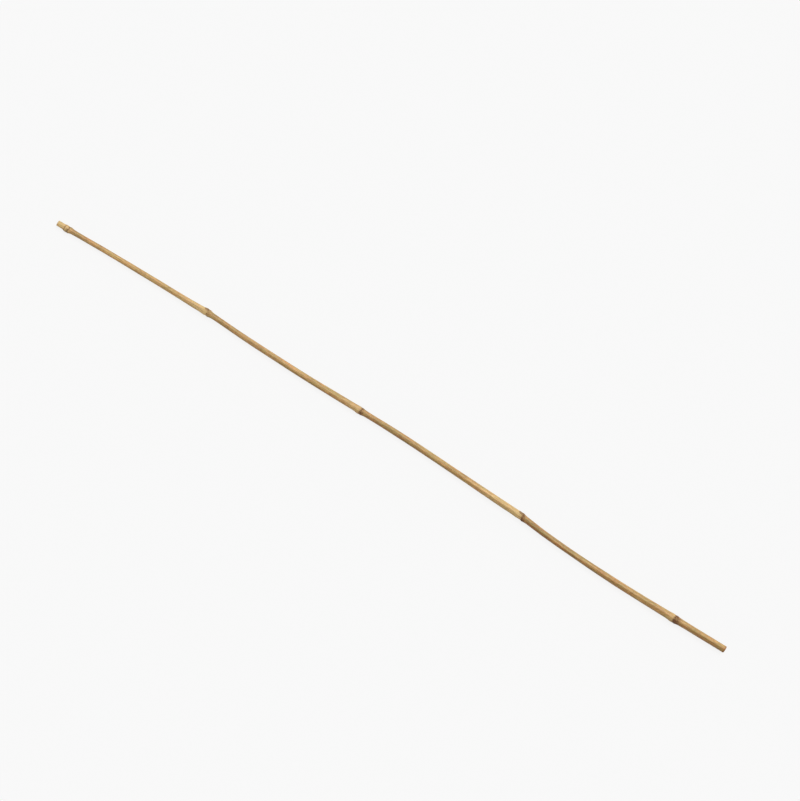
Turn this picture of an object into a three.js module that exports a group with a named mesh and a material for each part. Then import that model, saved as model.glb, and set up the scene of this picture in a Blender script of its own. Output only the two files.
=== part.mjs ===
// Bamboo garden cane: one sawn length of a single bamboo culm, lying on the rings of its nodes.
//
// Millimetres, +Z up. The cane lies along X, its thick butt end towards +X and its thin end
// towards -X. The origin is on the ground, under the middle of the cane's bounding box.
// Every "distance" below is measured along the cane from the butt's sawn face.

import * as THREE from 'three';

// ---- Driving dimensions -------------------------------------------------------------------

const LENGTH = 1200; // between the two sawn faces
const SIDES = 24; // flats round every section

// The culm's nodes, from the butt to the tip. Each has a sharp ring where the leaf sheath fell
// off, then a rounded ridge, and on one side the stump of a trimmed branch.
//   scarAt, ridgeAt   distances of the scar ring and of the ridge
//   scar, ridge       radius of the scar ring and of the ridge
//   ridgeFall         half-width of the ridge on its tip side
//   branchSide        degrees round the cane from +Y, towards +Z
//   clearance         height of the scar ring above the ground
// A stiff cane touches flat ground with three of its rings, here the end ones and the middle one.
const NODES = [
  [87.5, 94, 6.7, 6.5, 4.6, 205, 0],
  [366.5, 375, 6.1, 5.85, 4.2, 38, 0.3],
  [658.5, 664, 5.85, 5.75, 4.6, 208, 0],
  [933.5, 939, 5.85, 5.7, 4, 34, 0.3],
  [1179.5, 1185, 5.4, 5.35, 2.4, 206, 0],
].map(([scarAt, ridgeAt, scar, ridge, ridgeFall, branchSide, clearance]) => ({
  scarAt, ridgeAt, scar, ridge, ridgeFall, branchSide, clearance,
}));

const SCAR_RISE = 2.8; // half-width of the scar ring on its butt side
const SCAR_FALL = 1.6; // half-width of the scar ring on its tip side
const RIDGE_RISE = 3.2; // half-width of the ridge on its butt side

const BRANCH_OFFSET = 3.5; // from the scar to the branch stump, towards the tip
const BRANCH_HEIGHT = 0.8; // how far the stump stands proud
const BRANCH_HALF_LENGTH = 3.2;
const BRANCH_HALF_WIDTH = 20; // degrees round the cane

const BUTT_HOLLOW = { radius: 1.8, depth: 84 }; // the hollow heart, open at the saw cut
const TIP_HOLLOW = { radius: 1.25, depth: 9 };
const HOLLOW_DOME = 0.5; // share of the radius left where the hollow's end rounds over
const SAW_BEVEL = 0.25; // worn edge round each sawn face

// The bark between the rings, as distance from the butt and radius: each stretch between two
// nodes is thickest at its foot and thinnest a little short of its top.
const GIRTH = [
  [0, 5.45],
  [66, 5.45],
  [100, 6],
  [150, 5.6],
  [200, 5.4],
  [270, 4.8],
  [350, 4.95],
  [385, 5.55],
  [420, 5.5],
  [480, 5.05],
  [600, 4.9],
  [643, 4.65],
  [673, 5.35],
  [700, 5.3],
  [745, 4.95],
  [840, 4.6],
  [923, 4.45],
  [948, 5],
  [985, 4.5],
  [1080, 4.15],
  [1163, 4],
  [1188, 4.4],
  [LENGTH, 4.4],
];

// The culm grew slightly bent: distance from the butt, and how far its axis strays to +Y.
const BOW = [
  [0, 0.8],
  [88, -1],
  [185, -2.5],
  [260, -1.6],
  [325, 1.2],
  [366, 4.5],
  [416, 5.6],
  [470, 6.9],
  [592, 9.1],
  [657, 8.3],
  [762, 6.2],
  [815, 6.3],
  [870, 6.8],
  [933, 8.5],
  [968, 7.5],
  [1017, 6.6],
  [1117, 3.9],
  [1179, 1.3],
  [LENGTH, 0.8],
];

// Where sections are cut: round a scar ring, round a ridge, and at most this far apart between.
const SCAR_STEPS = [-7, -4, -2.4, -1.2, 0, 1.2, 2.4];
const RIDGE_STEPS = [-1.5, 0, 2.4, 5, 8, 12, 20];
const LONGEST_STEP = 24;

const BARK = { color: 0xb3936a, roughness: 0.55, metalness: 0 };

// ---- The shape as functions of the distance from the butt ------------------------------------

const radians = THREE.MathUtils.degToRad;
const bell = (offset, halfWidth) => Math.exp(-0.5 * (offset / halfWidth) ** 2);

// A smooth curve through points: between two points it is a cubic, and its slope at each point
// is the mean of the chords on the point's two sides.
function curveThrough(points) {
  const chords = points.slice(1).map(([at, value], i) => {
    const [startAt, start] = points[i];
    return (value - start) / (at - startAt);
  });
  const slopes = points.map((_, i) => {
    const before = chords[Math.max(i - 1, 0)];
    const after = chords[Math.min(i, chords.length - 1)];
    return (before + after) / 2;
  });
  return (distance) => {
    const last = points.length - 2;
    const next = points.findIndex(([at]) => at > distance);
    const i = next < 0 ? last : THREE.MathUtils.clamp(next - 1, 0, last);
    const [startAt, start] = points[i];
    const [endAt, end] = points[i + 1];
    const span = endAt - startAt;
    const t = (distance - startAt) / span;
    const ease = t * t * (3 - 2 * t);
    const leave = t * (1 - t) ** 2 * slopes[i] * span;
    const arrive = t * t * (t - 1) * slopes[i + 1] * span;
    return start + (end - start) * ease + leave + arrive;
  };
}

// Bark radius between the rings.
const barkRadius = curveThrough(GIRTH);

// Bark radius with the rings: the scar and the ridge rise from the bark as two bells, and the
// higher of them wins, which leaves the shallow groove between them.
function culmRadius(distance) {
  const bark = barkRadius(distance);
  const rises = NODES.map((node) => {
    const pastScar = distance - node.scarAt;
    const pastRidge = distance - node.ridgeAt;
    const scarWidth = pastScar < 0 ? SCAR_RISE : SCAR_FALL;
    const ridgeWidth = pastRidge < 0 ? RIDGE_RISE : node.ridgeFall;
    const scar = (node.scar - bark) * bell(pastScar, scarWidth);
    const ridge = (node.ridge - bark) * bell(pastRidge, ridgeWidth);
    return Math.max(scar, ridge);
  });
  return bark + Math.max(...rises);
}

// How far a branch stump lifts the bark at a distance and an angle round the cane.
function branchLift(distance, angle) {
  const lifts = NODES.map((node) => {
    const turn = angle - radians(node.branchSide);
    const round = Math.atan2(Math.sin(turn), Math.cos(turn));
    const along = distance - node.scarAt - BRANCH_OFFSET;
    return BRANCH_HEIGHT * bell(along, BRANCH_HALF_LENGTH) * bell(round, radians(BRANCH_HALF_WIDTH));
  });
  return Math.max(...lifts);
}

// The axis runs sideways through the bow. Its height puts the first, middle and last scar ring
// on the ground and keeps the rest of the bark clear of it. Past the end rings it stays level.
const axisSideways = curveThrough(BOW);
const restHeights = NODES.map(({ scarAt, scar, clearance }) => [scarAt, scar + clearance]);
const axisHeight = curveThrough([
  [0, restHeights[0][1]],
  ...restHeights,
  [LENGTH, restHeights.at(-1)[1]],
]);

// ---- The outline of half a section, revolved ------------------------------------------------

// Distances at which the bark gets a section, in order.
function barkStations() {
  const fixed = [SAW_BEVEL, LENGTH - SAW_BEVEL];
  NODES.forEach(({ scarAt, ridgeAt }) => {
    fixed.push(...SCAR_STEPS.map((step) => scarAt + step));
    fixed.push(...RIDGE_STEPS.map((step) => ridgeAt + step));
  });
  const inside = fixed.filter((at) => at >= SAW_BEVEL && at <= LENGTH - SAW_BEVEL);
  inside.sort((a, b) => a - b);
  const stations = [inside[0]];
  inside.slice(1).forEach((at, i) => {
    const parts = Math.ceil((at - inside[i]) / LONGEST_STEP);
    for (let part = 1; part <= parts; part += 1) {
      stations.push(THREE.MathUtils.lerp(inside[i], at, part / parts));
    }
  });
  return stations;
}

// One closed run from the axis at the bottom of the butt's hollow, over the outside, to the
// axis at the bottom of the tip's hollow.
function halfSection() {
  const buttEnd = BUTT_HOLLOW.depth;
  const tipEnd = LENGTH - TIP_HOLLOW.depth;
  const dome = (hollow) => hollow.radius * HOLLOW_DOME;
  return [
    new THREE.Vector2(0, buttEnd),
    new THREE.Vector2(dome(BUTT_HOLLOW), buttEnd),
    new THREE.Vector2(BUTT_HOLLOW.radius, buttEnd - dome(BUTT_HOLLOW)),
    new THREE.Vector2(BUTT_HOLLOW.radius, 0),
    new THREE.Vector2(culmRadius(0) - SAW_BEVEL, 0),
    ...barkStations().map((at) => new THREE.Vector2(culmRadius(at), at)),
    new THREE.Vector2(culmRadius(LENGTH) - SAW_BEVEL, LENGTH),
    new THREE.Vector2(TIP_HOLLOW.radius, LENGTH),
    new THREE.Vector2(TIP_HOLLOW.radius, tipEnd + dome(TIP_HOLLOW)),
    new THREE.Vector2(dome(TIP_HOLLOW), tipEnd),
    new THREE.Vector2(0, tipEnd),
  ];
}

// ---- The cane ------------------------------------------------------------------------------

const culm = new THREE.LatheGeometry(halfSection(), SIDES);
culm.rotateZ(Math.PI / 2); // the lathe's axis, from butt to tip, now points to -X

// Raise the branch stumps on the bark, then slide each section onto the bowed axis.
const position = culm.getAttribute('position');
const point = new THREE.Vector3();
for (let i = 0; i < position.count; i += 1) {
  point.fromBufferAttribute(position, i);
  const distance = -point.x;
  const radius = Math.hypot(point.y, point.z);
  const onBark = radius > BUTT_HOLLOW.radius + SAW_BEVEL;
  const lift = onBark ? branchLift(distance, Math.atan2(point.z, point.y)) : 0;
  const scale = onBark ? (radius + lift) / radius : 1;
  const y = point.y * scale + axisSideways(distance);
  const z = point.z * scale + axisHeight(distance);
  position.setXYZ(i, point.x, y, z);
}

// Put the middle of the bounding box's foot at the origin.
culm.computeBoundingBox();
const middle = culm.boundingBox.getCenter(new THREE.Vector3());
culm.translate(-middle.x, -middle.y, -culm.boundingBox.min.z);
culm.computeVertexNormals();

const cane = new THREE.Mesh(culm, new THREE.MeshStandardMaterial(BARK));
cane.name = 'cane';

const group = new THREE.Group();
group.add(cane);

export default group;
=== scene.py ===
import math

import bpy
import numpy as np
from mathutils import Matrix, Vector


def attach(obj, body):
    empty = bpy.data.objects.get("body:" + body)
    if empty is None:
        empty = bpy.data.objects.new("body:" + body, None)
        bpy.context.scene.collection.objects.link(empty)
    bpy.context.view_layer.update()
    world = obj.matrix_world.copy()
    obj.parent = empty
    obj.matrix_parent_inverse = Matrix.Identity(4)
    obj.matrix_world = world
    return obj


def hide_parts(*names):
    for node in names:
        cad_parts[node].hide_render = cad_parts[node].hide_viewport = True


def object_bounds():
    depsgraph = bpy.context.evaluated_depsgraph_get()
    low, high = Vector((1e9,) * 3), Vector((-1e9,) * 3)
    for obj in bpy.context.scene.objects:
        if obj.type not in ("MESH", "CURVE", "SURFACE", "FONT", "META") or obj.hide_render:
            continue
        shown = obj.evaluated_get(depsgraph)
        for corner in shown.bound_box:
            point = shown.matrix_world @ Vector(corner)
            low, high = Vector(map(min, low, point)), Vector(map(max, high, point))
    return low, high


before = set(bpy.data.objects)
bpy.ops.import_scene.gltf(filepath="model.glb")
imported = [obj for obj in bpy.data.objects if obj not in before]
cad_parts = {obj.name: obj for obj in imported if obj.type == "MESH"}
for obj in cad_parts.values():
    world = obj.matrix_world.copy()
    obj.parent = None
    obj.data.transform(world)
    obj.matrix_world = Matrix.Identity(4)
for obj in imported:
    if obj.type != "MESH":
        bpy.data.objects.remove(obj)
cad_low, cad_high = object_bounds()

# ---- The culm's shape ----------------------------------------------------------------------
# One sawn length of a bamboo culm, grown in six stretches between five nodes. Each node is a
# sharp scar, where the leaf sheath fell off, then a rounded ridge with a trimmed branch stump.
# Sizes are millimetres, and "at" is the distance along the cane from the butt's sawn face.

MM = 0.001
LENGTH = (cad_high[0] - cad_low[0]) / MM

# One row for each node, from the butt to the tip: where its scar and its ridge are, the radius
# of both, half the width of the ridge's fall to the tip, the side its branch grew on in degrees
# from +Y towards +Z, how high the scar stays off the ground, and how far the scar leans to the
# tip on which side.
NODES = np.array([
    (87.5, 94, 6.7, 6.5, 4.6, 205, 0, 2.2, 80),
    (366.5, 375, 6.1, 5.85, 4.2, 38, 0.3, 1.8, 20),
    (658.5, 664, 5.85, 5.75, 4.6, 208, 0, 0.7, 30),
    (933.5, 939, 5.85, 5.7, 4, 34, 0.3, 1.8, 85),
    (1179.5, 1185, 5.4, 5.35, 2.4, 206, 0, 1.2, 150),
])
SCAR_AT, RIDGE_AT, SCAR, RIDGE, RIDGE_FALL, BRANCH_SIDE, CLEARANCE, LEAN, LEAN_SIDE = NODES.T
BRANCH_TURN, LEAN_TURN = np.radians(BRANCH_SIDE), np.radians(LEAN_SIDE)

# The bark between the rings, as distance from the butt and radius: each stretch between two
# nodes is thickest at its foot and thinnest a little short of its top.
GIRTH = np.array([
    (0, 5.45), (66, 5.45), (100, 6), (150, 5.6), (200, 5.4), (270, 4.8), (350, 4.95),
    (385, 5.55), (420, 5.5), (480, 5.05), (600, 4.9), (643, 4.65), (673, 5.35), (700, 5.3),
    (745, 4.95), (840, 4.6), (923, 4.45), (948, 5), (985, 4.5), (1080, 4.15), (1163, 4),
    (1188, 4.4), (LENGTH, 4.4),
])

# The culm grew slightly bent: distance from the butt, and how far its axis strays to +Y.
BOW = np.array([
    (0, 0.8), (88, -1), (185, -2.5), (260, -1.6), (325, 1.2), (366, 4.5), (416, 5.6),
    (470, 6.9), (592, 9.1), (657, 8.3), (762, 6.2), (815, 6.3), (870, 6.8), (933, 8.5),
    (968, 7.5), (1017, 6.6), (1117, 3.9), (1179, 1.3), (LENGTH, 0.8),
])


def bell(offset, half_width):
    """e to the power of minus half the square of offset over half-width: 1 in the middle, 0.6 at
    the half-width and next to nothing at three of them."""
    return np.exp(-0.5 * (offset / half_width) ** 2)


def ease(share):
    """Three times the square of the share less twice its cube: 0 to 1 with level ends."""
    share = np.clip(share, 0, 1)
    return share * share * (3 - 2 * share)


def turn_from(angle, start):
    """The angle past start, brought into half a turn either way."""
    return np.arctan2(np.sin(angle - start), np.cos(angle - start))


def curve_through(points, at):
    """A cubic from each point to the next, whose slope at a point is the mean of the chords on
    its two sides."""
    where, value = points.T
    chord = np.diff(value) / np.diff(where)
    slope = np.concatenate([chord[:1], (chord[1:] + chord[:-1]) / 2, chord[-1:]])
    i = np.clip(np.searchsorted(where, at, side="right") - 1, 0, len(where) - 2)
    span = where[i + 1] - where[i]
    t = (at - where[i]) / span
    leave = t * (1 - t) ** 2 * slope[i] * span
    arrive = t * t * (t - 1) * slope[i + 1] * span
    return value[i] + (value[i + 1] - value[i]) * t * t * (3 - 2 * t) + leave + arrive


def waves(at, angle, length, crests, seed, count=12):
    """Natural unevenness, about -1 to 1: the mean of some sine waves, each with a whole number
    of crests round the cane up to `crests`, and about `length` long along it."""
    draw = np.random.default_rng(seed)
    total = 0.0
    for _ in range(count):
        round_cane = draw.integers(-crests, crests + 1)
        along_cane = 1 / (length * draw.uniform(0.7, 1.6))
        total = total + np.sin(round_cane * angle + math.tau * (at * along_cane + draw.uniform()))
    return total / math.sqrt(count)


def past_scar(at, angle):
    """Distance past each node's scar, towards the tip. The scar leans by a cosine round the cane,
    wanders a little, and dips towards the butt under the branch."""
    dip = 0.8 * bell(turn_from(angle, BRANCH_TURN), 0.65)
    wander = 0.22 * np.sin(2 * angle + 3 * SCAR_AT) + 0.1 * np.sin(5 * angle + SCAR_AT)
    return at - (SCAR_AT + LEAN * np.cos(angle - LEAN_TURN) - dip + wander)


SCAR_WIDTHS = (2.8, 1.6)  # half-widths of the scar's flare on its butt side and its tip side
LIP_WIDTHS = (0.55, 0.3)  # and of the broken lip on it
GROOVE_BEHIND = 1.7  # from the scar to the middle of the groove behind it
GROOVE_WIDTH = 0.55  # its half-width
RIDGE_RISE = 3.2  # half-width of the ridge on its butt side


def ring_rise(at, angle, bark):
    """How far the scar and the ridge stand out. The scar is a bell with a broken lip on it and a
    groove behind it, the ridge is a wider bell, and the higher of them shows."""
    past = past_scar(at, angle)
    ragged = 0.5 + 0.5 * waves(at * 0, angle, 1, 19, 11)
    flare = bell(past, np.where(past < 0, *SCAR_WIDTHS))
    lip = bell(past, np.where(past < 0, *LIP_WIDTHS)) * (1 - 0.55 * np.clip(ragged, 0, 1))
    groove = bell(past - GROOVE_BEHIND, GROOVE_WIDTH)
    scar = (SCAR - bark) * (0.72 * flare + 0.28 * lip - 0.16 * groove)
    past = at - RIDGE_AT
    uneven = 1 - 0.1 * np.clip(waves(at, angle, 9, 7, 12), 0, 1)
    ridge = (RIDGE - bark) * bell(past, np.where(past < 0, RIDGE_RISE, RIDGE_FALL)) * uneven
    return np.maximum(scar, ridge).max(axis=-1)


BRANCH_OFFSET = 3.5  # from the scar to the branch stump, towards the tip
STUMP_BULGE = 1.3  # how high the branch's foot would stand, uncut
STUMP_HALF_LENGTH = 3.1
STUMP_HALF_WIDTH = 2.0
STUMP_TOP = 0.8  # the highest that the cut leaves of it
STUMP_EDGE = 0.05  # how softly the cut meets the bulge
PITH_WIDTH = 0.5  # half-width of the dimple


def stumps(at, angle, bark):
    """The trimmed branches: a bulge whose top is sliced off by a plane that falls towards the
    tip, with a dimple where its pith was. Gives the rise, where the sliced face shows, and
    where its pith does."""
    along = at - SCAR_AT - BRANCH_OFFSET
    across = turn_from(angle, BRANCH_TURN) * bark
    bulge = STUMP_BULGE * bell(along, STUMP_HALF_LENGTH) * bell(across, STUMP_HALF_WIDTH)
    cut = np.clip(0.6 - 0.06 * along, 0.3, STUMP_TOP)
    rise = -STUMP_EDGE * np.log(np.exp(-bulge / STUMP_EDGE) + np.exp(-cut / STUMP_EDGE))
    face = ease((bulge - cut + 0.02) / 0.1)
    heart = bell(np.hypot(along + 0.3, across), PITH_WIDTH) * face
    return (rise - 0.25 * heart).max(axis=-1), face.max(axis=-1), heart.max(axis=-1)


PRESSED = 0.22  # depth of the groove that the young branch pressed into the bark
PRESSED_WIDTH = 0.42  # its half-width, in radians round the cane
PRESSED_START = 9  # length over which it deepens
PRESSED_FADE = 55  # and the length over which it fades


def culm_radius(at, angle):
    """The bark with its rings and stumps, and the unevenness of a grown thing: fine flutes, slow
    swellings, a slightly oval section, and a groove that the branch pressed into the bark."""
    at, angle = at[..., None], angle[..., None]
    bark = curve_through(GIRTH, at)
    rings = ring_rise(at, angle, bark)
    stump, _, _ = stumps(at, angle, bark)
    past = at - SCAR_AT - BRANCH_OFFSET
    depth = PRESSED * ease(past / PRESSED_START) * np.exp(-np.maximum(past, 0) / PRESSED_FADE)
    groove = (depth * bell(turn_from(angle, BRANCH_TURN), PRESSED_WIDTH)).max(axis=-1)
    at, angle, bark = at[..., 0], angle[..., 0], bark[..., 0]
    flutes = 0.022 * waves(at, angle, 160, 30, 13, 24)
    swelling = 0.035 * waves(at, angle, 60, 3, 14)
    oval = 0.012 * bark * np.sin(angle - 0.3) ** 2
    return bark + rings + stump - groove + flutes + swelling - oval


def axis_place(at):
    """Sideways the axis runs through the bow. Upwards it passes each scar at the scar's radius
    over the ground, plus its clearance, and stays level past the end ones."""
    height = SCAR + CLEARANCE
    rests = np.stack([np.r_[0, SCAR_AT, LENGTH], np.r_[height[0], height, height[-1]]], axis=1)
    return curve_through(BOW, at), curve_through(rests, at)


# ---- The cane ------------------------------------------------------------------------------
# The whole cane is one closed skin: up the wall of the hollow at the butt, across the sawn
# face, along the bark, over the tip's sawn face and down into the hollow there.

SIDES = 96
BARK_ROWS = 900
STRIPS = 6  # lengths of bark laid side by side in the texture map
BEVEL = 0.25  # worn edge round each sawn face
BUTT_HOLLOW = (1.8, 84)  # radius and depth of the hollow heart, open at the saw cut
TIP_HOLLOW = (1.25, 9)
WALL_ROWS = 26
DOME_ROWS = 5
FACE_ROWS = 12

FINE_STEPS = 24001  # points at which the density of the rows is summed

angles = -math.pi / 2 + math.tau * np.arange(SIDES) / SIDES


def bark_stations():
    """Distances of the bark's rows. Their density is even along the cane, with a bell of more
    of them over each node and a narrow one over its scar; rows also stand between strips."""
    fine = np.linspace(BEVEL, LENGTH - BEVEL, FINE_STEPS)
    over_nodes = bell(fine[:, None] - RIDGE_AT, 8).sum(axis=1)
    over_scars = bell(fine[:, None] - SCAR_AT, 1.6).sum(axis=1)
    total = np.cumsum(1 + 4 * over_nodes + 9 * over_scars)
    stations = np.interp(np.linspace(total[0], total[-1], BARK_ROWS), total, fine)
    inside = np.round(stations[1:-1], 1)
    return np.r_[BEVEL, np.union1d(inside, np.arange(1, STRIPS) * LENGTH / STRIPS), LENGTH - BEVEL]


def sawn_end(face_at, inward, hollow, seed):
    """The rows of one end, from the middle of the hollow's bottom outwards, as distances and
    radii: a dome, the wall with its rows crowding to the mouth, the face with the saw's faint
    steps across it, and a quarter round into the bark."""
    radius, depth = hollow
    dome = radius / 2
    turn = np.linspace(0, math.pi / 2, DOME_ROWS + 1)[1:, None] + 0 * angles
    dome_in = depth - dome + dome * np.cos(turn)
    rough = 1 + 0.05 * waves(0 * turn, angles, 1, 7, seed)
    wall_in = (depth - dome) * np.linspace(1, 0, WALL_ROWS + 1)[1:, None] ** 2.2 + 0 * angles
    wall_radius = radius * (1 + 0.05 * waves(wall_in, angles, 7, 5, seed + 1))
    edge = culm_radius(face_at + inward * (BEVEL + 0 * angles), angles) - BEVEL
    share = np.linspace(0, 1, FACE_ROWS + 1)[1:, None]
    face_radius = wall_radius[-1] + (edge - wall_radius[-1]) * share
    steps = 0.03 * waves(face_radius * np.sin(angles + 0.7), 0, 0.9, 0, seed + 2)
    face_in = steps * np.minimum(4 * share * (1 - share), 1)
    quarter = np.linspace(0, math.pi / 2, 5)[1:-1, None]
    bevel_in = BEVEL * (1 - np.cos(quarter)) + 0 * angles
    bevel_radius = edge + BEVEL * np.sin(quarter)
    into = np.concatenate([dome_in, wall_in, face_in, bevel_in])
    radii = np.concatenate([radius * np.sin(turn) * rough, wall_radius, face_radius, bevel_radius])
    return face_at + inward * into, radii


stations = bark_stations()
bark_at = stations[:, None] + 0 * angles
bark_angle = angles + 0 * bark_at
butt_at, butt_radius = sawn_end(0, 1, BUTT_HOLLOW, 21)
tip_at, tip_radius = sawn_end(LENGTH, -1, TIP_HOLLOW, 31)
row_at = np.concatenate([butt_at, bark_at, tip_at[::-1]])
row_radius = np.concatenate([butt_radius, culm_radius(bark_at, bark_angle), tip_radius[::-1]])
row_angle = angles + 0 * row_at
END_ROWS = len(butt_at)
FIRST_BARK, LAST_BARK = END_ROWS, END_ROWS + len(stations) - 1


def on_axis(at, radius, angle):
    """Places round the bent axis: along the cane from its middle, then out at the angle."""
    sideways, height = axis_place(at)
    y = sideways + radius * np.cos(angle)
    z = height + radius * np.sin(angle)
    return np.stack([LENGTH / 2 - at, y, z], axis=-1)


poles_at = np.array([butt_at[0, 0] + BUTT_HOLLOW[0] * 0.02, tip_at[0, 0] - TIP_HOLLOW[0] * 0.02])
skin = on_axis(row_at, row_radius, row_angle).reshape(-1, 3)
skin = np.concatenate([skin, on_axis(poles_at, 0 * poles_at, 0 * poles_at)])
skin[:, 1] -= (skin[:, 1].max() + skin[:, 1].min()) / 2
off_y, off_z = row_radius * np.cos(row_angle), row_radius * np.sin(row_angle)
straight = np.stack([row_at, off_y, off_z], axis=-1).reshape(-1, 3)
straight = np.concatenate([straight, np.stack([poles_at, 0 * poles_at, 0 * poles_at], axis=-1)])

rows, columns = np.meshgrid(np.arange(len(row_at) - 1), np.arange(SIDES), indexing="ij")
rows, columns = rows.ravel(), columns.ravel()
onward = (columns + 1) % SIDES
quads = np.stack([
    rows * SIDES + columns,
    (rows + 1) * SIDES + columns,
    (rows + 1) * SIDES + onward,
    rows * SIDES + onward,
], axis=1)
butt_pole, tip_pole = len(skin) - 2, len(skin) - 1
around = np.arange(SIDES)
last_row = (len(row_at) - 1) * SIDES
butt_fan = np.stack([np.full(SIDES, butt_pole), around, (around + 1) % SIDES], axis=1)
tip_fan = np.stack([np.full(SIDES, tip_pole), last_row + (around + 1) % SIDES, last_row + around], axis=1)

mesh = bpy.data.meshes.new("culm")
mesh.from_pydata((skin * MM).tolist(), [], quads.tolist() + butt_fan.tolist() + tip_fan.tolist())
mesh.update()
culm = bpy.data.objects.new("culm", mesh)
bpy.context.collection.objects.link(culm)

# The texture map, in millimetres on a square: six unrolled lengths of bark one over the other,
# and over them, side by side, each end's face, hollow wall and hollow bottom.
MAP_SIDE = 215.5
GUTTER = 1.7
STRIP = LENGTH / STRIPS
FACE_ROOM = 6.2  # half-width of the place of a sawn face

turns = columns[:, None] + np.array([0, 0, 1, 1])
corner_rows = rows[:, None] + np.array([0, 1, 1, 0])
corner_angle = angles[0] + math.tau * turns / SIDES
corner_at = row_at[corner_rows, turns % SIDES]
corner_radius = row_radius[corner_rows, turns % SIDES]
flat = np.zeros(corner_at.shape + (2,))

strip_girth = math.tau * curve_through(GIRTH, (np.arange(STRIPS) + 0.5) * STRIP)
strip_foot = GUTTER + np.concatenate([[0], np.cumsum(strip_girth + GUTTER)])
is_bark = (rows >= FIRST_BARK) & (rows < LAST_BARK)
strip = np.minimum(corner_at.mean(axis=1) // STRIP, STRIPS - 1).astype(int)[:, None]
flat[..., 0] = GUTTER + corner_at - strip * STRIP
flat[..., 1] = strip_foot[strip] + turns / SIDES * strip_girth[strip]

ends_foot = strip_foot[-1]
reach = GUTTER
fan_flats = []
for face_at, hollow, inner in ((0, BUTT_HOLLOW, 0), (LENGTH, TIP_HOLLOW, len(row_at) - 1)):
    depth_in = np.abs(corner_at - face_at)
    order = np.abs(rows + (inner > 0) - inner)  # rows counted from the hollow's bottom
    face = (order >= DOME_ROWS - 1 + WALL_ROWS) & (order < END_ROWS)
    wall = (order >= DOME_ROWS - 1) & (order < DOME_ROWS - 1 + WALL_ROWS)
    bottom = order < DOME_ROWS - 1
    outward = np.stack([np.cos(corner_angle), np.sin(corner_angle)], axis=-1)
    spread = (corner_radius + depth_in)[..., None] * outward
    flat[face] = spread[face] + np.array([reach + FACE_ROOM, ends_foot + FACE_ROOM])
    reach += 2 * FACE_ROOM + GUTTER
    flat[wall, :, 0] = reach + depth_in[wall]
    flat[wall, :, 1] = ends_foot + (turns / SIDES * math.tau * hollow[0])[wall]
    reach += hollow[1] + GUTTER
    middle = np.array([reach + hollow[0] * 1.2, ends_foot + hollow[0] * 1.2])
    flat[bottom] = (corner_radius[..., None] * outward)[bottom] + middle
    reach += 2.4 * hollow[0] + GUTTER
    circle = row_radius[inner][:, None] * np.stack([np.cos(angles), np.sin(angles)], axis=-1) + middle
    circle_on = np.roll(circle, -1, axis=0)
    hub = middle + 0 * circle
    corners = [hub, circle, circle_on] if inner == 0 else [hub, circle_on, circle]
    fan_flats.append(np.stack(corners, axis=1).reshape(-1, 2))
flat = np.concatenate([flat.reshape(-1, 2)] + fan_flats) / MAP_SIDE
mesh.uv_layers.new(name="OFBake").data.foreach_set("uv", flat.ravel())

# What the bark's colours follow, kept at each point: its place with the bend taken out, the
# pale bark over a ridge, the brown stain on both sides of a scar, the thin line where the last
# ridge ends, and the sliced face of a branch stump with its pith. For each node: how far the
# pale bark reaches and how pale it is, how far the stain reaches to the butt and to the tip,
# how strong it is, and how strong the thin line is.
NODE_MARKS = np.array([
    (10, 0.5, 6.5, 2.2, 1.0, 0),
    (38, 0.7, 4.2, 2.0, 0.8, 0),
    (22, 0.6, 3.2, 2.6, 0.85, 0),
    (30, 0.8, 2.2, 1.6, 0.45, 0),
    (40, 1.0, 0.8, 1.9, 0.75, 0.85),
])
PALE_REACH, PALE, UNDER, OVER, STAIN, THIN_LINE = NODE_MARKS.T
here, turned = row_at[..., None], row_angle[..., None]
past = past_scar(here, turned)
over_ridge = np.maximum(here - RIDGE_AT, 0)
new_bark_mark = PALE * ease((past - 0.4) / 1.5) * np.exp(-((over_ridge / PALE_REACH) ** 1.5))
centre = np.where(OVER > UNDER, 0.55 * OVER, 0)  # the stain sits in the groove past the scar
stain_mark = STAIN * bell(past - centre, np.where(past < centre, UNDER, OVER))
line_mark = THIN_LINE * bell(here - RIDGE_AT - 0.4 - 1.7 * np.sin(turned), 0.7)
_, sliced_mark, heart_mark = stumps(here, turned, curve_through(GIRTH, here))
marks = {
    "pale": new_bark_mark.max(axis=-1),
    "stain": np.maximum(stain_mark, line_mark).max(axis=-1),
    "scar": (STAIN * bell(past - 0.1, 0.45)).max(axis=-1),
    "sliced": sliced_mark,
    "heart": heart_mark,
}
mesh.attributes.new("straight", "FLOAT_VECTOR", "POINT").data.foreach_set("vector", straight.ravel())
for name, values in marks.items():
    mesh.attributes.new(name, "FLOAT", "POINT").data.foreach_set("value", np.append(values, [0, 0]))

is_sawn = np.append(~is_bark, np.ones(2 * SIDES, bool)).astype(np.int32)
mesh.polygons.foreach_set("material_index", is_sawn)
mesh.polygons.foreach_set("use_smooth", np.ones(len(is_sawn), bool))
mesh.set_sharp_from_angle(angle=math.radians(50))

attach(culm, "root")
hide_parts("cane")


# ---- Bark ----------------------------------------------------------------------------------
# The culm's own waxy skin, dried to straw colours: yellower to the tip, browner to the butt,
# with painted light and shade round it, paler towards the lamp's side and darker away from it.
# Fibres run along it, with weather stains over them.

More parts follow.
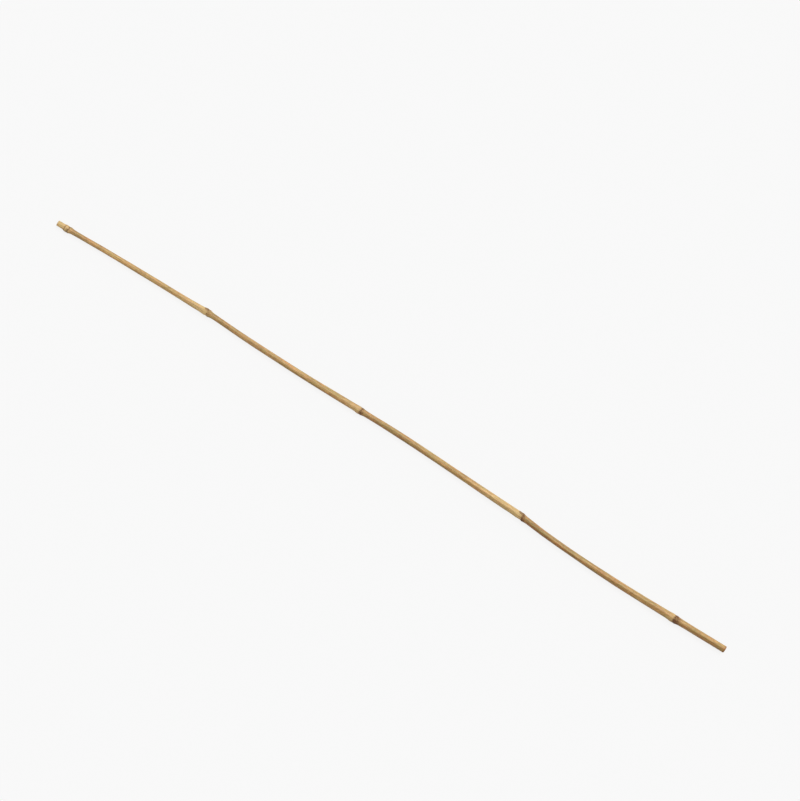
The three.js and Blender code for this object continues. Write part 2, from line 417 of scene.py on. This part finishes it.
class Socket:
    """An output of a node in a material. Sums on it add Math nodes, and `node` adds any other."""

    def __init__(self, socket):
        self.socket = socket

    def node(self, kind, settings=None, sockets=None, output=0):
        """Adds a node of this kind beside this one: first its settings, where "stops" are a
        ramp's places and colours, then its sockets, each set to a value or linked to a Socket."""
        tree = self.socket.id_data
        made = tree.nodes.new(kind)
        for name, setting in (settings or {}).items():
            if name == "stops":
                spare = made.color_ramp.elements
                while len(spare) < len(setting):
                    spare.new(0.5)
                for stop, (stop_at, paint) in zip(spare, setting):
                    stop.position = stop_at
                    stop.color = paint
            else:
                setattr(made, name, setting)
        for name, value in (sockets or {}).items():
            if isinstance(value, Socket):
                tree.links.new(value.socket, made.inputs[name])
            else:
                made.inputs[name].default_value = value
        return Socket(made.outputs[output])

    def maths(self, operation, *values):
        return self.node("ShaderNodeMath", {"operation": operation}, dict(enumerate(values)))

    def __add__(self, other):
        return self.maths("ADD", self, other)

    def __sub__(self, other):
        return self.maths("SUBTRACT", self, other)

    def __rsub__(self, other):
        return self.maths("SUBTRACT", other, self)

    def __mul__(self, other):
        return self.maths("MULTIPLY", self, other)

    def __truediv__(self, other):
        return self.maths("DIVIDE", self, other)

    __radd__ = __add__
    __rmul__ = __mul__

    def rise(self, low, high):
        """0 below low, 1 above high, and an S-curve between."""
        sockets = {"Value": self, "From Min": low, "From Max": high}
        return self.node("ShaderNodeMapRange", {"interpolation_type": "SMOOTHSTEP"}, sockets)

    def mix(self, low, high):
        """The colour low where this is 0, high where it is 1."""
        return self.node("ShaderNodeMix", {"data_type": "RGBA"}, {0: self, 6: low, 7: high}, 2)

    def scaled(self, factor):
        """This colour or vector times a number."""
        sockets = {"Vector": self, "Scale": factor}
        return self.node("ShaderNodeVectorMath", {"operation": "SCALE"}, sockets)

    def grain(self, length, width, shift=0.0, detail=3.0):
        """Noise about 0.5 in this place, in flecks of that length along the cane and width."""
        moved = self.node("ShaderNodeVectorMath", {"operation": "ADD"}, {0: self, 1: (shift, shift, shift)})
        size = (1 / length, 1 / width, 1 / width)
        shrunk = self.node("ShaderNodeVectorMath", {"operation": "MULTIPLY"}, {0: moved, 1: size})
        return self.node("ShaderNodeTexNoise", {}, {"Vector": shrunk, "Scale": 1.0, "Detail": detail})


def tint(hexadecimal):
    """A colour written RRGGBB as it looks on a screen, as the linear colour of light."""
    parts = [int(hexadecimal[i:i + 2], 16) / 255 for i in (0, 2, 4)]
    return (*[p / 12.92 if p <= 0.04045 else ((p + 0.055) / 1.055) ** 2.4 for p in parts], 1.0)


def new_material(name):
    """A material with its plain shader. Gives the material and the shader's Socket."""
    material = bpy.data.materials.new(name)
    material.use_nodes = True
    return material, Socket(material.node_tree.nodes["Principled BSDF"].outputs[0])


def feed(shader, values):
    """Sets or links the sockets of a material's plain shader."""
    inputs = shader.socket.node.inputs
    for name, value in values.items():
        if isinstance(value, Socket):
            shader.socket.id_data.links.new(value.socket, inputs[name])
        else:
            inputs[name].default_value = value


# The paints of the bark, and where each lies from the butt to the tip: the distance, then the
# painted-lit paint for the side towards the lamp and the painted-shade paint for the far side.
CREAM, STRAW, KHAKI = tint("d2b179"), tint("c09d66"), tint("b4915e")
TAN, BROWN, UMBER = tint("ac844e"), tint("997141"), tint("875f34")
BARK_PAINTS = (
    (0, STRAW, BROWN),
    (75, STRAW, BROWN),
    (100, STRAW, TAN),
    (150, STRAW, TAN),
    (215, STRAW, BROWN),
    (290, KHAKI, UMBER),
    (355, KHAKI, UMBER),
    (378, CREAM, TAN),
    (420, CREAM, KHAKI),
    (475, STRAW, TAN),
    (535, STRAW, BROWN),
    (600, KHAKI, BROWN),
    (658, KHAKI, BROWN),
    (690, STRAW, TAN),
    (780, STRAW, TAN),
    (840, KHAKI, KHAKI),
    (930, KHAKI, TAN),
    (950, CREAM, STRAW),
    (985, STRAW, STRAW),
    (1085, STRAW, STRAW),
    (1135, STRAW, KHAKI),
    (1172, KHAKI, TAN),
    (1192, CREAM, STRAW),
    (1200, CREAM, CREAM),
)
LIT_SIDE = (32, 45)  # the side painted lit, in degrees from +Y towards +Z: at the butt, and its turn over the length

bark, shader = new_material("bark")
place = shader.node("ShaderNodeAttribute", {"attribute_name": "straight"}, output="Vector")


def mark(name):
    """One of the marks kept at the skin's points."""
    return place.node("ShaderNodeAttribute", {"attribute_name": name}, output="Fac")


distance = place.node("ShaderNodeSeparateXYZ", {}, {0: place}, "X")
along = distance / LENGTH
# Painted light and shade: each paint has a lit copy for the side towards the lamp and a darker shaded copy
# for the far side, mixed by how far the bark faces that side. The change along the cane is the bark's own
# tone.
lit_paint_stops = [(at / LENGTH, lit_paint) for at, lit_paint, _ in BARK_PAINTS]
shade_paint_stops = [(at / LENGTH, shade_paint) for at, _, shade_paint in BARK_PAINTS]
lit_paint = along.node("ShaderNodeValToRGB", {"stops": lit_paint_stops}, {0: along})
shade_paint = along.node("ShaderNodeValToRGB", {"stops": shade_paint_stops}, {0: along})
lit_turn = along * math.radians(LIT_SIDE[1]) + math.radians(LIT_SIDE[0])
to_lit_side = lit_turn.node("ShaderNodeCombineXYZ", {}, {1: lit_turn.maths("COSINE", lit_turn), 2: lit_turn.maths("SINE", lit_turn)})
across = place.node("ShaderNodeVectorMath", {"operation": "MULTIPLY"}, {0: place, 1: (0, 1, 1)})
outward = across.node("ShaderNodeVectorMath", {"operation": "NORMALIZE"}, {0: across})
lit_facing = outward.node("ShaderNodeVectorMath", {"operation": "DOT_PRODUCT"}, {0: outward, 1: to_lit_side}, "Value")
bands = place.grain(80, 2.0, 3, 2)
side = (lit_facing + (bands - 0.5) * 0.9).rise(0.35, 0.95)
colour = side.mix(shade_paint, lit_paint)

weather = place.grain(40, 3, 40, 5)
blush = place.grain(14, 1.3, 61, 6)
colour = (weather.rise(0.47, 0.62) * 0.35).mix(colour, tint("8a8048"))
colour = ((1 - weather).rise(0.5, 0.64) * 0.35).mix(colour, tint("b57b48"))
colour = (blush.rise(0.5, 0.62) * 0.35).mix(colour, tint("bb774a"))
colour = ((1 - blush).rise(0.5, 0.64) * 0.35).mix(colour, tint("9a9256"))
streaks = place.grain(45, 0.9, 7, 4)
fibres = place.grain(12, 0.2, 11, 4)
mottle = place.grain(6, 1.5, 83, 5)
shade = 0.98 + (bands - 0.5) * 0.6 + (streaks - 0.5) * 1.2 + (mottle - 0.5) * 1.2 + (fibres - 0.5) * 0.8
colour = colour.scaled(shade)
scratches = place.grain(34, 0.13, 97, 2).rise(0.66, 0.76)
colour = (scratches * 0.45).mix(colour, tint("5d4527"))

pale = mark("pale") * (0.25 + 1.2 * place.grain(16, 1.6, 17))
new_bark = blush.rise(0.4, 0.6).mix(tint("d1b67b"), tint("d1aa77")).scaled(0.5 + 0.5 * shade)
colour = pale.mix(colour, new_bark)
blotches = place.grain(4, 1.6, 23).rise(0.3, 0.66) * 0.85 + 0.45
# The stains are real; the last factor paints shade into them, making them stronger on the side away from the
# lamp.
stain_with_painted_shade = mark("stain") * blotches * (1.15 - 0.4 * lit_facing)
stain = (stain_with_painted_shade * (0.5 + fibres)).rise(0.08, 0.95)
colour = stain.mix(colour, tint("6c4627"))
colour = (mark("scar") * (0.1 + 0.8 * place.grain(2, 1.2, 29))).mix(colour, tint("5f3e22"))
flecks = place.grain(1.6, 0.6, 31, 2).rise(0.68, 0.76) * place.grain(60, 8, 37, 1).rise(0.42, 0.6)
colour = (flecks * 0.7).mix(colour, tint("43301f"))
sliced = mark("sliced")
wood = place.grain(1.2, 0.3, 43, 2).rise(0.3, 0.7).mix(tint("725434"), tint("ab8a5e"))
colour = sliced.mix(colour, wood)
rim = sliced * (1 - sliced) * 4
colour = (rim * 0.7).mix(colour, tint("5f4327"))
colour = (mark("heart") * 0.9).mix(colour, tint("3f2b1a"))
near_cut = (place.grain(6, 2, 47) * 5 - distance).rise(-0.8, 1.6)
colour = (near_cut * 0.8).mix(colour, tint("93602e"))

roughness = 0.5 + (weather - 0.5) * 0.25 + stain * 0.2 + sliced * 0.3 + (streaks - 0.5) * 0.15
height = (streaks - 0.5) * 0.05 + (fibres - 0.5) * 0.05 - flecks * 0.03 - scratches * 0.03
normal = height.node("ShaderNodeBump", {}, {"Height": height, "Strength": 0.6, "Distance": MM})
feed(shader, {
    "Base Color": colour,
    "Roughness": roughness,
    "Normal": normal,
    "Specular IOR Level": 0.35,
})

# ---- Sawn wood -----------------------------------------------------------------------------
# The cut across the culm: hard dark-rimmed fibre bundles set in pale pith, close together under
# the bark and wider apart to the hollow, with the saw's fine lines across them.

sawn, shader = new_material("sawn_wood")
place = shader.node("ShaderNodeAttribute", {"attribute_name": "straight"}, output="Vector")
across = place.node("ShaderNodeVectorMath", {"operation": "MULTIPLY"}, {0: place, 1: (0.02, 1, 1)})
from_middle = across.node("ShaderNodeVectorMath", {"operation": "LENGTH"}, {0: across}, "Value")
bundles = across.node("ShaderNodeTexVoronoi", {}, {"Vector": across, "Scale": 1.9}, "Distance")
saw_lines = across.node("ShaderNodeTexWave", {}, {"Vector": across, "Scale": 1.1, "Distortion": 3.0}, "Fac")
pith = place.grain(4, 1.2, 5)
wood = pith.mix(tint("c79d66"), tint("e2c190"))
rind = from_middle.rise(2.6, 5.2)
wood = (1 - bundles + rind * 0.1).rise(0.62, 0.84).mix(wood, tint("7d5530"))
wood = (rind * 0.6).mix(wood, tint("96683a"))
wood = (saw_lines * 0.18).mix(wood, tint("8e6a42"))
height = (1 - bundles) * 0.05 + saw_lines * 0.03
normal = height.node("ShaderNodeBump", {}, {"Height": height, "Strength": 0.7, "Distance": MM})
feed(shader, {"Base Color": wood, "Roughness": 0.75 + (pith - 0.5) * 0.2, "Normal": normal, "IOR": 1.4})

mesh.materials.append(bark)
mesh.materials.append(sawn)

# ---- Floor ---------------------------------------------------------------------------------
# A plain pale studio cove: a round floor that sweeps up into a wall, and glows evenly, as
# backlit paper does, so that the cane lies on white with hardly a shadow.

FLOOR_MIDDLE = 0.2  # radius of the one flat face in the middle, metres like all of the cove
FLOOR_RADIUS = 4.0
FLOOR_RINGS = 9
SWEEP = 1.0
WALL = 2.0
COVE_SIDES = 64
DROP = 0.05 * MM  # the floor stays this far under the rings that rest on it
bend = np.linspace(0, math.pi / 2, 13)
flat_out = np.linspace(FLOOR_MIDDLE, FLOOR_RADIUS, FLOOR_RINGS)
sweep_out = FLOOR_RADIUS + SWEEP * np.sin(bend[1:])
out = np.concatenate([flat_out, sweep_out, [FLOOR_RADIUS + SWEEP]])[:, None]
up = np.concatenate([0 * flat_out, SWEEP * (1 - np.cos(bend[1:])), [WALL]])[:, None] - DROP
ring = math.tau * np.arange(COVE_SIDES) / COVE_SIDES
cove_points = np.stack([out * np.cos(ring), out * np.sin(ring), up + 0 * ring], axis=-1)
foot, column = np.meshgrid(np.arange(len(out) - 1), np.arange(COVE_SIDES), indexing="ij")
foot, column = foot.ravel() * COVE_SIDES, column.ravel()
next_column = (column + 1) % COVE_SIDES
cove_faces = np.stack([
    foot + column,
    foot + COVE_SIDES + column,
    foot + COVE_SIDES + next_column,
    foot + next_column,
], axis=1).tolist()
cove_faces.append(list(range(COVE_SIDES)))
cove_mesh = bpy.data.meshes.new("cove")
cove_mesh.from_pydata(cove_points.reshape(-1, 3).tolist(), [], cove_faces)
cove_mesh.polygons.foreach_set("use_smooth", np.ones(len(cove_faces), bool))
cove = bpy.data.objects.new("cove", cove_mesh)
bpy.context.collection.objects.link(cove)
paper, shader = new_material("pale_cove")
feed(shader, {
    "Base Color": (0.08, 0.08, 0.08, 1),
    "Roughness": 1.0,
    "Specular IOR Level": 0.0,
    "Emission Color": (1, 1, 1, 1),
    "Emission Strength": 0.865,
})
cove_mesh.materials.append(paper)

# ---- Light ---------------------------------------------------------------------------------
# An even pale surround, and one wide soft light from the cane's +Y side, about two thirds of the
# way from level to overhead.

world = bpy.data.worlds.new("studio")
world.use_nodes = True
world.node_tree.nodes["Background"].inputs["Color"].default_value = (1, 1, 1, 1)
world.node_tree.nodes["Background"].inputs["Strength"].default_value = 0.25
bpy.context.scene.world = world

lamp = bpy.data.lights.new("softbox", "SUN")
lamp.energy = 2.4
lamp.angle = math.radians(35)
softbox = bpy.data.objects.new("softbox", lamp)
bpy.context.collection.objects.link(softbox)
from_side = math.radians(90)  # from +Y
LIGHT_HEIGHT = math.radians(58)
softbox.rotation_euler = (math.radians(90) - LIGHT_HEIGHT, 0, from_side + math.radians(90))

# ---- Camera --------------------------------------------------------------------------------
# It looks straight down, turned so that the cane runs from the upper left to the lower right,
# a little left of and below the middle of the picture.

CANE_SLOPE = math.radians(32.6)
CAMERA_AT = (-0.018, 0.0503, 3.006)
AWAY = 3  # metres from the camera down to the cane's axis
FIELD = 1.2143  # height of what it sees there
SENSOR = 36  # millimetres

camera_data = bpy.data.cameras.new("camera")
camera_data.sensor_width = SENSOR
camera_data.lens = SENSOR * AWAY / FIELD
camera = bpy.data.objects.new("camera", camera_data)
bpy.context.collection.objects.link(camera)
camera.location = CAMERA_AT
camera.rotation_euler = (0, 0, CANE_SLOPE)
bpy.context.scene.camera = camera
bpy.context.scene.view_settings.view_transform = "Standard"
